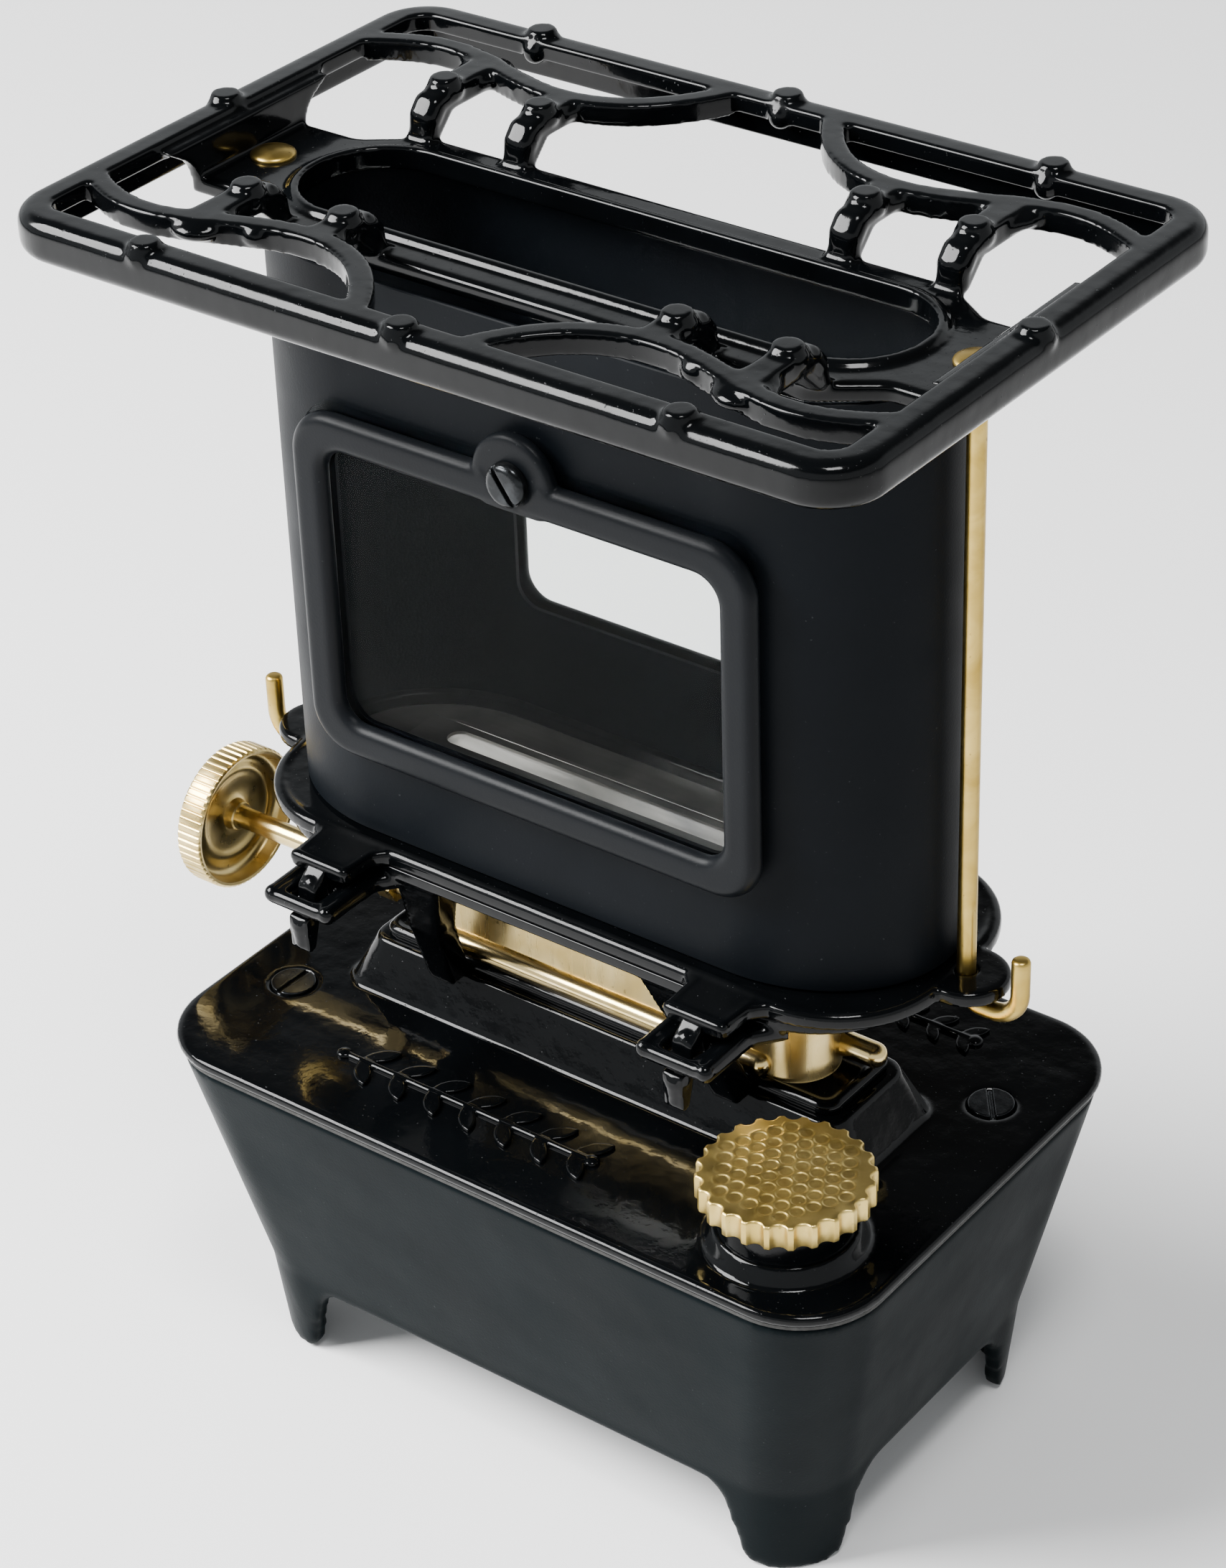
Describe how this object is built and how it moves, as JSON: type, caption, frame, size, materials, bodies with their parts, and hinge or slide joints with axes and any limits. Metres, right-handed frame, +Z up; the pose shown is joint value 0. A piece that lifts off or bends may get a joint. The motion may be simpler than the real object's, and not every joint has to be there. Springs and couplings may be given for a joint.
{
  "type": "kerosene heater",
  "caption": "Small antique oil heater: cast tank on four feet, flat-wick burner, tipping chimney with swinging windows, and a studded trivet for warming irons.",
  "frame": {"origin": "on the floor, under the middle of the tank and chimney", "axes": "+Z up; +X along the heater towards the filler end; -Y towards the front window and the hinge"},
  "size_m": [0.2196, 0.136, 0.2958],
  "materials": {
    "satin_iron": "satin black painted casting",
    "enamel_iron": "gloss black enamelled casting",
    "black_sheet": "satin black painted sheet",
    "black_steel": "gloss black screws",
    "deck_steel": "grey sheet",
    "brass": "aged satin brass",
    "brass_bright": "polished and brushed brass",
    "seal": "dark gasket",
    "cotton": "woven cotton wick",
    "pane": "clear"
  },
  "bodies": {
    "base": {"tank_body": "satin_iron", "tank_gasket": "seal", "tank_lid": "enamel_iron", "lid_screw_left": "black_steel", "lid_screw_right": "black_steel", "lid_ornament_front": "enamel_iron", "lid_ornament_rear": "enamel_iron", "filler_neck": "enamel_iron", "burner_flange": "enamel_iron", "burner_body": "brass_bright", "burner_roll": "brass_bright", "burner_vent": "brass_bright", "wick_tube": "brass", "shaft_gland": "brass", "shaft_bearing": "brass", "gallery": "enamel_iron"},
    "chimney": {"chimney_ring": "enamel_iron", "hinge_hook_left": "enamel_iron", "hinge_hook_right": "enamel_iron", "drum": "black_sheet", "flame_deck": "deck_steel", "deck_spreader": "deck_steel", "pivot_screw_front": "black_steel", "pivot_screw_rear": "black_steel", "pivot_nut_front": "black_steel", "pivot_nut_rear": "black_steel", "trivet_rim": "enamel_iron", "trivet_plate": "enamel_iron", "trivet_scrolls": "enamel_iron", "tie_rod_left": "brass", "tie_rod_right": "brass"},
    "front_window": {"frame_front": "black_sheet", "glass_front": "pane"},
    "rear_window": {"frame_rear": "black_sheet", "glass_rear": "pane"},
    "wick_drive": {"wick_shaft": "brass", "sprocket_left": "brass", "sprocket_right": "brass", "wick_wheel": "brass"},
    "wick_body": {"wick": "cotton"},
    "cap_seal": {"cap_gasket": "seal"},
    "cap": {"filler_cap": "brass"}
  },
  "joints": [
    {"name": "chimney_tilt", "type": "hinge", "parent": "base", "child": "chimney", "pos_m": [0, -0.0522, 0.1358], "axis": [1, 0, 0], "range_deg": [0, 50]},
    {"name": "front_window_swing", "type": "hinge", "parent": "chimney", "child": "front_window", "pos_m": [0, -0.033, 0.2474], "axis": [0, 1, 0], "range_deg": [-28, 28]},
    {"name": "rear_window_swing", "type": "hinge", "parent": "chimney", "child": "rear_window", "pos_m": [0, 0.033, 0.2474], "axis": [0, 1, 0], "range_deg": [-28, 28]},
    {"name": "wick_turn", "type": "hinge", "parent": "base", "child": "wick_drive", "pos_m": [-0.1, -0.0054, 0.1118], "axis": [1, 0, 0], "range_deg": [-80, 100]},
    {"name": "wick_raise", "type": "slide", "parent": "base", "child": "wick_body", "axis": [0, 0, 1], "range_m": [-0.0048, 0.006]},
    {"name": "cap_lift", "type": "slide", "parent": "base", "child": "cap_seal", "axis": [0, 0, 1], "range_m": [0, 0.0041]},
    {"name": "cap_turn", "type": "hinge", "parent": "cap_seal", "child": "cap", "pos_m": [0.0684, -0.038, 0.1], "axis": [0, 0, 1], "range_deg": [0, 720]}
  ],
  "couplings": [
    {"joint": "wick_raise", "follows": "wick_turn", "m_per_rad": 0.0034},
    {"joint": "cap_lift", "follows": "cap_turn", "m_per_rad": 0.00031831}
  ]
}
